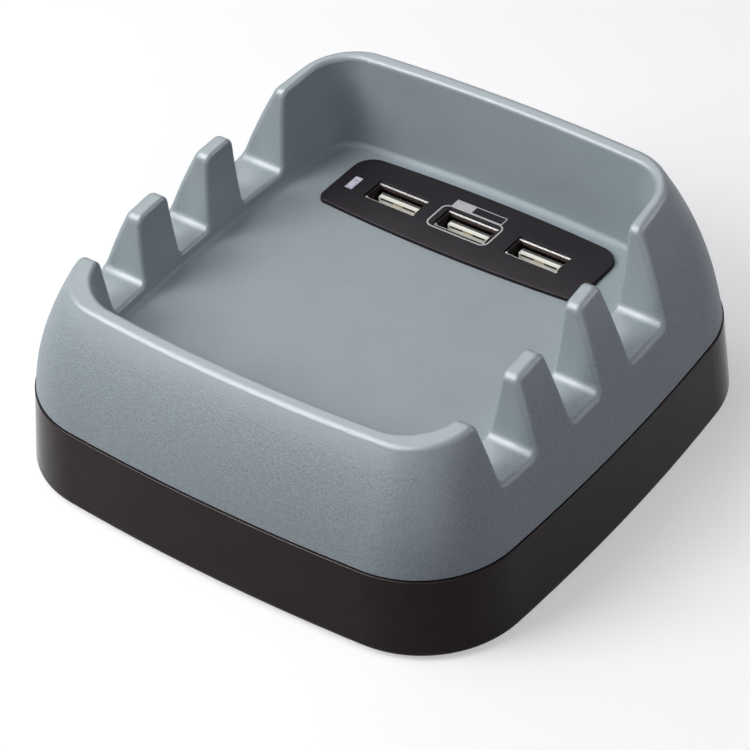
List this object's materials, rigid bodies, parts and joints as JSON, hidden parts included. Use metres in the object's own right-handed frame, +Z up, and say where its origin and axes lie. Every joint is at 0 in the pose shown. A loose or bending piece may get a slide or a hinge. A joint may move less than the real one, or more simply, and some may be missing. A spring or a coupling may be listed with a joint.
{
  "type": "charging station organizer",
  "caption": "Desktop charging tray with a grey slotted wall that holds phones and tablets upright, a black base and a row of charging sockets in a panel at the back of its floor.",
  "frame": {"origin": "on the table, under the middle of the base", "axes": "+Z up, +X to the user's right, -Y towards the user, with the sockets at +Y"},
  "size_m": [0.1334, 0.1336, 0.0583],
  "materials": {
    "base_black": "gloss",
    "tray_grey": "satin, finely grained",
    "panel_black": "gloss",
    "socket_steel": "plated",
    "insulator_white": "satin",
    "contact_gold": "plated",
    "light_clear": "frosted",
    "lamp_white": "gloss",
    "board_green": "solder mask",
    "chip_black": "matte",
    "ceramic_tan": "matte",
    "can_silver": "bright",
    "ferrite_grey": "matte",
    "fuse_yellow": "matte",
    "inlet_black": "matte",
    "pin_brass": "plated",
    "connector_cream": "satin",
    "wire_red": "satin",
    "wire_black": "satin",
    "foot_rubber": "matte",
    "screw_zinc": "zinc plated"
  },
  "bodies": {
    "root": {"base_tub": "base_black", "bypass_capacitors": "ceramic_tan", "case_screws": "screw_zinc", "charge_controllers": "chip_black", "foot_back_left": "foot_rubber", "foot_back_right": "foot_rubber", "foot_front_left": "foot_rubber", "foot_front_right": "foot_rubber", "indicator_lamp": "lamp_white", "inlet_pin": "pin_brass", "inlet_socket": "inlet_black", "input_capacitor": "can_silver", "input_diode": "chip_black", "input_fuse": "fuse_yellow", "light_pipe": "light_clear", "negative_wire": "wire_black", "output_capacitor": "can_silver", "port_board": "board_green", "port_board_screws": "screw_zinc", "port_header": "connector_cream", "port_panel": "panel_black", "port_plug": "connector_cream", "positive_wire": "wire_red", "power_board": "board_green", "power_board_screws": "screw_zinc", "power_header": "connector_cream", "power_inductor": "ferrite_grey", "power_plug": "connector_cream", "regulator_chip": "chip_black", "tray_housing": "tray_grey", "usb_contacts_left": "contact_gold", "usb_contacts_middle": "contact_gold", "usb_contacts_right": "contact_gold", "usb_insulator_left": "insulator_white", "usb_insulator_middle": "insulator_white", "usb_insulator_right": "insulator_white", "usb_shell_left": "socket_steel", "usb_shell_middle": "socket_steel", "usb_shell_right": "socket_steel"}
  },
  "joints": []
}
